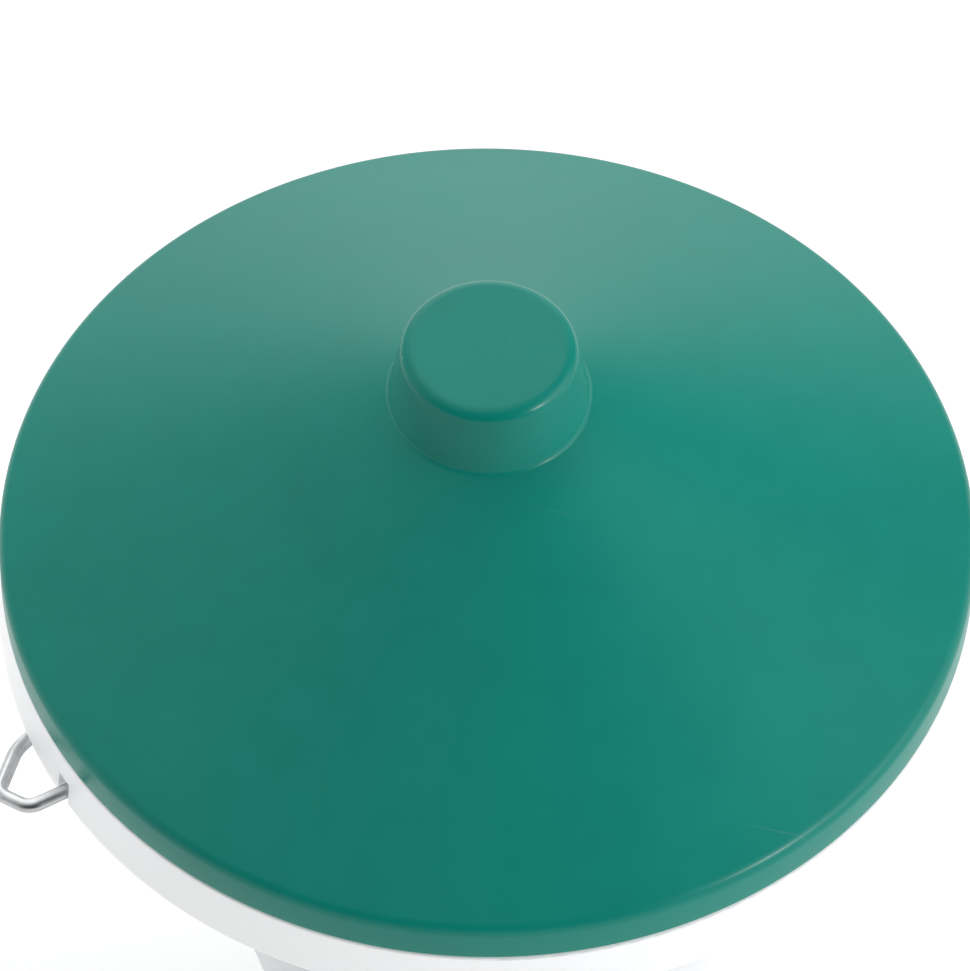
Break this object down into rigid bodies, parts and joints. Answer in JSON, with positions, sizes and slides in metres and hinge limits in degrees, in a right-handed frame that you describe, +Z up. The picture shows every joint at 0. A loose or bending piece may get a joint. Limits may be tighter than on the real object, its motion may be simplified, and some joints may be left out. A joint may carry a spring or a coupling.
{
  "type": "round hopper feeder with cone lid",
  "caption": "Round outdoor hopper feeder: steep green cone lid with a hand knob, white collared hopper with wire eyes, sliding gate and a feed pan on steel struts.",
  "frame": {"origin": "on the vertical turning axis, at ground level under the four rubber pads", "axes": "+Z up along the turning axis; the swung-out wire eye is towards -X and a little towards -Y, the other one opposite it"},
  "size_m": [0.4034, 0.4034, 0.635],
  "materials": {
    "lid_green": "satin moulded green polyethylene, faint scuffs and dust",
    "hopper_white": "satin moulded white polyethylene",
    "pan_green": "satin moulded green polyethylene",
    "galvanised_wire": "bright zinc-plated wire",
    "galvanised_strip": "zinc-plated flat strip",
    "zinc_fastener": "bright zinc-plated steel",
    "black_plastic": "fine-textured black nylon",
    "rubber": "soft black rubber"
  },
  "bodies": {
    "base": {"hopper": "hopper_white", "keeper_front": "galvanised_strip", "keeper_back": "galvanised_strip", "keeper_front_screws": "zinc_fastener", "keeper_back_screws": "zinc_fastener", "feed_pan": "pan_green", "spreader_cone": "hopper_white", "spreader_bolt": "zinc_fastener", "spreader_nut": "zinc_fastener", "foot_bolts": "zinc_fastener", "foot_nuts": "zinc_fastener", "strut_a": "galvanised_strip", "strut_screws_a": "zinc_fastener", "foot_pad_a": "rubber", "strut_b": "galvanised_strip", "strut_screws_b": "zinc_fastener", "foot_pad_b": "rubber", "strut_c": "galvanised_strip", "strut_screws_c": "zinc_fastener", "foot_pad_c": "rubber", "strut_d": "galvanised_strip", "strut_screws_d": "zinc_fastener", "foot_pad_d": "rubber"},
    "lid": {"lid": "lid_green"},
    "eye_front": {"eye_front": "galvanised_wire"},
    "eye_back": {"eye_back": "galvanised_wire"},
    "gate": {"gate_sleeve": "pan_green"},
    "gate_screw_right": {"gate_screw_right": "black_plastic"},
    "gate_screw_left": {"gate_screw_left": "black_plastic"}
  },
  "joints": [
    {"name": "lid_lift", "type": "slide", "parent": "base", "child": "lid", "axis": [0, 0, 1], "range_m": [0, 0.25]},
    {"name": "eye_front_swing", "type": "hinge", "parent": "base", "child": "eye_front", "pos_m": [-0.1659, -0.08673, 0.474], "axis": [0.4633, -0.8862, 0], "range_deg": [-4, 110]},
    {"name": "eye_back_swing", "type": "hinge", "parent": "base", "child": "eye_back", "pos_m": [0.1659, 0.08673, 0.474], "axis": [-0.4633, 0.8862, 0], "range_deg": [-94, 20]},
    {"name": "gate_slide", "type": "slide", "parent": "base", "child": "gate", "axis": [0, 0, 1], "range_m": [-0.005, 0.035]},
    {"name": "gate_screw_right_turn", "type": "hinge", "parent": "gate", "child": "gate_screw_right", "pos_m": [0.091, 0, 0.091], "axis": [1, 0, 0], "range_deg": [-180, 180]},
    {"name": "gate_screw_left_turn", "type": "hinge", "parent": "gate", "child": "gate_screw_left", "pos_m": [-0.091, 0, 0.091], "axis": [-1, 0, 0], "range_deg": [-180, 180]}
  ]
}
